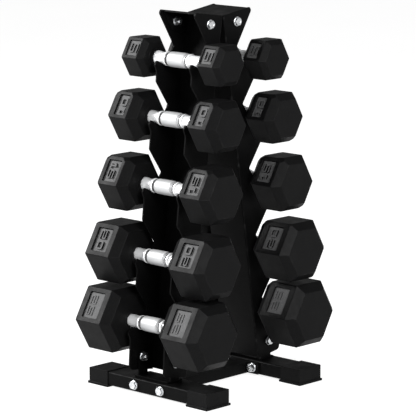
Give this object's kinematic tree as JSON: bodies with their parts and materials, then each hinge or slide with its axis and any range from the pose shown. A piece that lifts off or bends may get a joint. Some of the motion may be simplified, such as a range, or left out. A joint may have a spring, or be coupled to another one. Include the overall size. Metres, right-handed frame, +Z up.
{
  "type": "dumbbell rack",
  "caption": "Black steel A-frame rack with hooks cut in the edges of two leaning channels, holding hexagonal rubber dumbbells with chrome handles that lift out to the front and rear.",
  "frame": {"origin": "on the floor, midway between the four feet", "axes": "+Z up, +X to the right along the dumbbell handles, -Y towards the front"},
  "size_m": [0.291, 0.373, 0.6551],
  "materials": {
    "black_steel": "satin black powder coat",
    "head_rubber": "matt black rubber coat over cast iron",
    "chrome": "polished, knurled grip",
    "zinc": "bright zinc plate",
    "foot_rubber": "matt black"
  },
  "bodies": {
    "rack": {"front_upright": "black_steel", "rear_upright": "black_steel", "top_bracket": "black_steel", "front_lower_bracket": "black_steel", "rear_lower_bracket": "black_steel", "front_foot_bar": "black_steel", "rear_foot_bar": "black_steel", "rear_foot_cap_right": "foot_rubber", "rear_foot_cap_left": "foot_rubber", "front_foot_cap_left": "foot_rubber", "front_foot_cap_right": "foot_rubber", "base_beam": "black_steel", "top_bolt_front_left": "zinc", "top_bolt_front_right": "zinc", "top_bolt_rear_left": "zinc", "top_bolt_rear_right": "zinc", "lower_bolt_front_left": "zinc", "lower_bolt_front_right": "zinc", "lower_bolt_rear_left": "zinc", "lower_bolt_rear_right": "zinc", "foot_bolt_front_left": "zinc", "foot_bolt_front_right": "zinc", "foot_bolt_rear_left": "zinc", "foot_bolt_rear_right": "zinc"},
    "front_5lb_dumbbell": {"front_5lb_handle": "chrome", "front_5lb_head_right": "head_rubber", "front_5lb_head_left": "head_rubber"},
    "front_10lb_dumbbell": {"front_10lb_handle": "chrome", "front_10lb_head_right": "head_rubber", "front_10lb_head_left": "head_rubber"},
    "front_15lb_dumbbell": {"front_15lb_handle": "chrome", "front_15lb_head_right": "head_rubber", "front_15lb_head_left": "head_rubber"},
    "front_20lb_dumbbell": {"front_20lb_handle": "chrome", "front_20lb_head_right": "head_rubber", "front_20lb_head_left": "head_rubber"},
    "front_25lb_dumbbell": {"front_25lb_handle": "chrome", "front_25lb_head_right": "head_rubber", "front_25lb_head_left": "head_rubber"},
    "rear_5lb_dumbbell": {"rear_5lb_handle": "chrome", "rear_5lb_head_right": "head_rubber", "rear_5lb_head_left": "head_rubber"},
    "rear_10lb_dumbbell": {"rear_10lb_handle": "chrome", "rear_10lb_head_right": "head_rubber", "rear_10lb_head_left": "head_rubber"},
    "rear_15lb_dumbbell": {"rear_15lb_handle": "chrome", "rear_15lb_head_right": "head_rubber", "rear_15lb_head_left": "head_rubber"},
    "rear_20lb_dumbbell": {"rear_20lb_handle": "chrome", "rear_20lb_head_right": "head_rubber", "rear_20lb_head_left": "head_rubber"},
    "rear_25lb_dumbbell": {"rear_25lb_handle": "chrome", "rear_25lb_head_right": "head_rubber", "rear_25lb_head_left": "head_rubber"}
  },
  "joints": [
    {"name": "front_5lb_lift_out", "type": "slide", "parent": "rack", "child": "front_5lb_dumbbell", "axis": [0, -0.7071, 0.7071], "range_m": [0, 0.15]},
    {"name": "front_10lb_lift_out", "type": "slide", "parent": "rack", "child": "front_10lb_dumbbell", "axis": [0, -0.8192, 0.5736], "range_m": [0, 0.15]},
    {"name": "front_15lb_lift_out", "type": "slide", "parent": "rack", "child": "front_15lb_dumbbell", "axis": [0, -0.8192, 0.5736], "range_m": [0, 0.15]},
    {"name": "front_20lb_lift_out", "type": "slide", "parent": "rack", "child": "front_20lb_dumbbell", "axis": [0, -0.9063, 0.4226], "range_m": [0, 0.15]},
    {"name": "front_25lb_lift_out", "type": "slide", "parent": "rack", "child": "front_25lb_dumbbell", "axis": [0, -0.9877, 0.1564], "range_m": [0, 0.15]},
    {"name": "rear_5lb_lift_out", "type": "slide", "parent": "rack", "child": "rear_5lb_dumbbell", "axis": [0, 0.7071, 0.7071], "range_m": [0, 0.15]},
    {"name": "rear_10lb_lift_out", "type": "slide", "parent": "rack", "child": "rear_10lb_dumbbell", "axis": [0, 0.8192, 0.5736], "range_m": [0, 0.15]},
    {"name": "rear_15lb_lift_out", "type": "slide", "parent": "rack", "child": "rear_15lb_dumbbell", "axis": [0, 0.8192, 0.5736], "range_m": [0, 0.15]},
    {"name": "rear_20lb_lift_out", "type": "slide", "parent": "rack", "child": "rear_20lb_dumbbell", "axis": [0, 0.9063, 0.4226], "range_m": [0, 0.15]},
    {"name": "rear_25lb_lift_out", "type": "slide", "parent": "rack", "child": "rear_25lb_dumbbell", "axis": [0, 0.9877, 0.1564], "range_m": [0, 0.15]}
  ]
}
